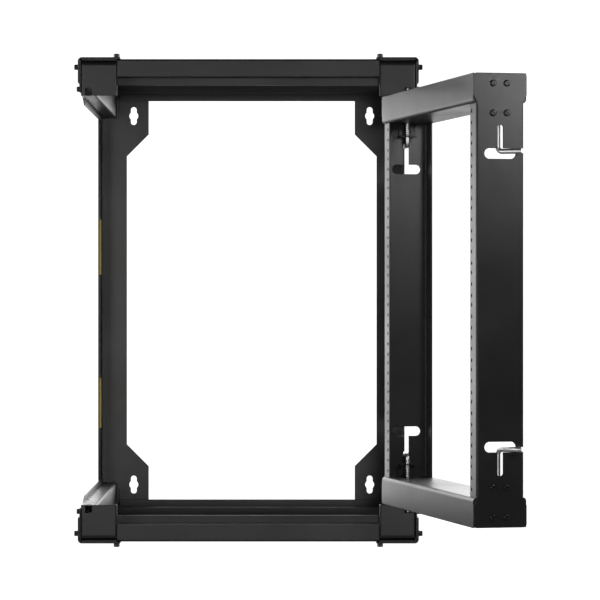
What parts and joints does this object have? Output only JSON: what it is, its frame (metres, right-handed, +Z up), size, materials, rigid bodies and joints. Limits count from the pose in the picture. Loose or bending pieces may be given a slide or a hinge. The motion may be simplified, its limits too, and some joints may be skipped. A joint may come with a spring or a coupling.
{
  "type": "wall-mount open frame rack",
  "caption": "Open steel frame that hooks on a wall by keyhole tabs and carries a swing-out rack gate hung on sprung L-shaped pins.",
  "frame": {"origin": "centre of the four wall keyholes, on the wall plane", "axes": "+X to the right seen from the room, +Y into the wall, +Z up; the gate is stored open as pictured"},
  "size_m": [0.6545, 1.0656, 0.7572],
  "materials": {
    "black_powder_coat": "fine textured black powder coat",
    "black_bolts": "black zinc plated hex fasteners",
    "black_screws": "black oxide button head screws",
    "bright_zinc": "bright zinc plated steel rod",
    "spring_steel": "drawn spring wire"
  },
  "bodies": {
    "wall_frame": {"upper_side_bolts": "black_bolts", "lower_side_bolts": "black_bolts", "side_nuts": "black_bolts", "crossbar_bolts": "black_bolts", "crossbar_nuts": "black_bolts", "rail_bolts": "black_bolts", "rail_nuts": "black_bolts", "rear_crossbar_bolts": "black_bolts", "rear_crossbar_nuts": "black_bolts", "right_wall_rail": "black_powder_coat", "left_wall_rail": "black_powder_coat", "upper_right_arm": "black_powder_coat", "upper_right_corner_bracket": "black_powder_coat", "upper_right_corner_strap": "black_powder_coat", "lower_right_arm": "black_powder_coat", "lower_right_corner_bracket": "black_powder_coat", "lower_right_corner_strap": "black_powder_coat", "upper_left_arm": "black_powder_coat", "upper_left_corner_bracket": "black_powder_coat", "upper_left_corner_strap": "black_powder_coat", "lower_left_arm": "black_powder_coat", "lower_left_corner_bracket": "black_powder_coat", "lower_left_corner_strap": "black_powder_coat", "upper_front_crossbar": "black_powder_coat", "upper_rear_crossbar": "black_powder_coat", "lower_front_crossbar": "black_powder_coat", "lower_rear_crossbar": "black_powder_coat"},
    "gate": {"gate_latch_upright": "black_powder_coat", "gate_hinge_upright": "black_powder_coat", "gate_latch_screws": "black_screws", "gate_hinge_screws": "black_screws", "gate_upper_channel": "black_powder_coat", "gate_lower_channel": "black_powder_coat", "upper_latch_pin_bracket": "black_powder_coat", "upper_latch_spring": "spring_steel", "lower_latch_pin_bracket": "black_powder_coat", "lower_latch_spring": "spring_steel", "upper_hinge_pin_bracket": "black_powder_coat", "upper_hinge_spring": "spring_steel", "lower_hinge_pin_bracket": "black_powder_coat", "lower_hinge_spring": "spring_steel"},
    "upper_hinge_pin": {"upper_hinge_pin": "bright_zinc", "upper_hinge_washer": "bright_zinc", "upper_hinge_clip": "bright_zinc"},
    "upper_latch_washer": {"upper_latch_washer": "bright_zinc"},
    "upper_latch_pin": {"upper_latch_pin": "bright_zinc", "upper_latch_clip": "bright_zinc"},
    "lower_hinge_pin": {"lower_hinge_pin": "bright_zinc", "lower_hinge_washer": "bright_zinc", "lower_hinge_clip": "bright_zinc"},
    "lower_latch_washer": {"lower_latch_washer": "bright_zinc"},
    "lower_latch_pin": {"lower_latch_pin": "bright_zinc", "lower_latch_clip": "bright_zinc"}
  },
  "joints": [
    {"name": "gate_hinge", "type": "hinge", "parent": "wall_frame", "child": "gate", "pos_m": [0.2443, -0.568, 0], "axis": [0, 0, 1], "range_deg": [-102.2, 77.8]},
    {"name": "upper_hinge_pin_slide", "type": "slide", "parent": "gate", "child": "upper_hinge_pin", "axis": [0, 0, -1], "range_m": [0, 0.0326], "stiffness_N_per_m": 460, "springref_m": -0.022, "deforming": ["upper_hinge_spring"]},
    {"name": "upper_latch_pin_slide", "type": "slide", "parent": "gate", "child": "upper_latch_washer", "axis": [0, 0, -1], "range_m": [0, 0.0063], "stiffness_N_per_m": 460, "springref_m": -0.0546, "deforming": ["upper_latch_spring"]},
    {"name": "upper_latch_pin_turn", "type": "hinge", "parent": "upper_latch_washer", "child": "upper_latch_pin", "pos_m": [0.34755, -1.04557, 0], "axis": [0, 0, 1], "range_deg": [-100, 0]},
    {"name": "lower_hinge_pin_slide", "type": "slide", "parent": "gate", "child": "lower_hinge_pin", "axis": [0, 0, 1], "range_m": [0, 0.0326], "stiffness_N_per_m": 460, "springref_m": -0.022, "deforming": ["lower_hinge_spring"]},
    {"name": "lower_latch_pin_slide", "type": "slide", "parent": "gate", "child": "lower_latch_washer", "axis": [0, 0, 1], "range_m": [0, 0.0063], "stiffness_N_per_m": 460, "springref_m": -0.0546, "deforming": ["lower_latch_spring"]},
    {"name": "lower_latch_pin_turn", "type": "hinge", "parent": "lower_latch_washer", "child": "lower_latch_pin", "pos_m": [0.34755, -1.04557, 0], "axis": [0, 0, 1], "range_deg": [-100, 0]}
  ]
}
